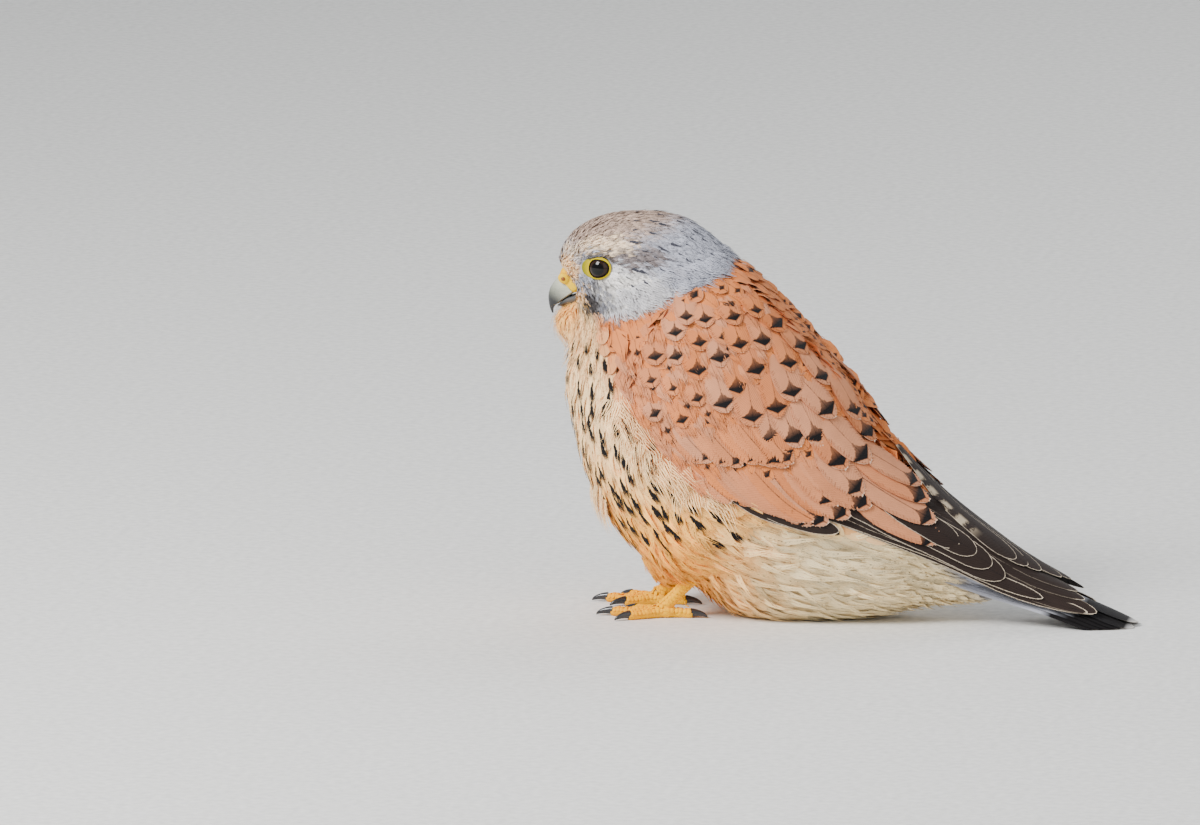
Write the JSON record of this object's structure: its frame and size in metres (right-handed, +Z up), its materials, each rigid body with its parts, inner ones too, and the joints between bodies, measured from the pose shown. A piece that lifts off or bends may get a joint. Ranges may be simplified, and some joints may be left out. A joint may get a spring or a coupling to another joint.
{
  "type": "common kestrel model",
  "caption": "Life-size still model of a male common kestrel, fluffed up and crouched on flat toes, head in profile, wings folded over the tail.",
  "frame": {"origin": "middle of the bird's box at the floor that its toes, belly feathers and tail tip rest on", "axes": "-X the way the bird faces, -Y its left side, +Z up"},
  "size_m": [0.2751, 0.1058, 0.188],
  "materials": {
    "bill_horn": "satin blue-grey horn, black at the tip",
    "cere_skin": "bare yellow skin, satin",
    "claw_horn": "glossy black horn",
    "eye": "wet, glossy, very dark brown",
    "leg_skin": "yellow scaly skin",
    "hood_plumage": "matt, soft grey body feathers of the head",
    "rufous_plumage": "matt, rufous feathers with black spots",
    "tail_plumage": "matt, blue-grey feathers with a black end band",
    "breast_plumage": "matt, buff feathers with dark streaks"
  },
  "bodies": {
    "root": {"bill_lower": "bill_horn", "bill_upper": "bill_horn", "cere": "cere_skin", "claw_hind_left": "claw_horn", "claw_hind_right": "claw_horn", "claw_inner_left": "claw_horn", "claw_inner_right": "claw_horn", "claw_middle_left": "claw_horn", "claw_middle_right": "claw_horn", "claw_outer_left": "claw_horn", "claw_outer_right": "claw_horn", "eye_left": "eye", "eye_right": "eye", "foot_left": "leg_skin", "foot_right": "leg_skin", "head": "hood_plumage", "neck": "rufous_plumage", "orbital_ring_left": "cere_skin", "orbital_ring_right": "cere_skin", "rump": "tail_plumage", "tail": "tail_plumage", "tarsus_left": "leg_skin", "tarsus_right": "leg_skin", "thigh_left": "breast_plumage", "thigh_right": "breast_plumage", "torso": "breast_plumage", "wing_left": "rufous_plumage", "wing_right": "rufous_plumage"}
  },
  "joints": []
}
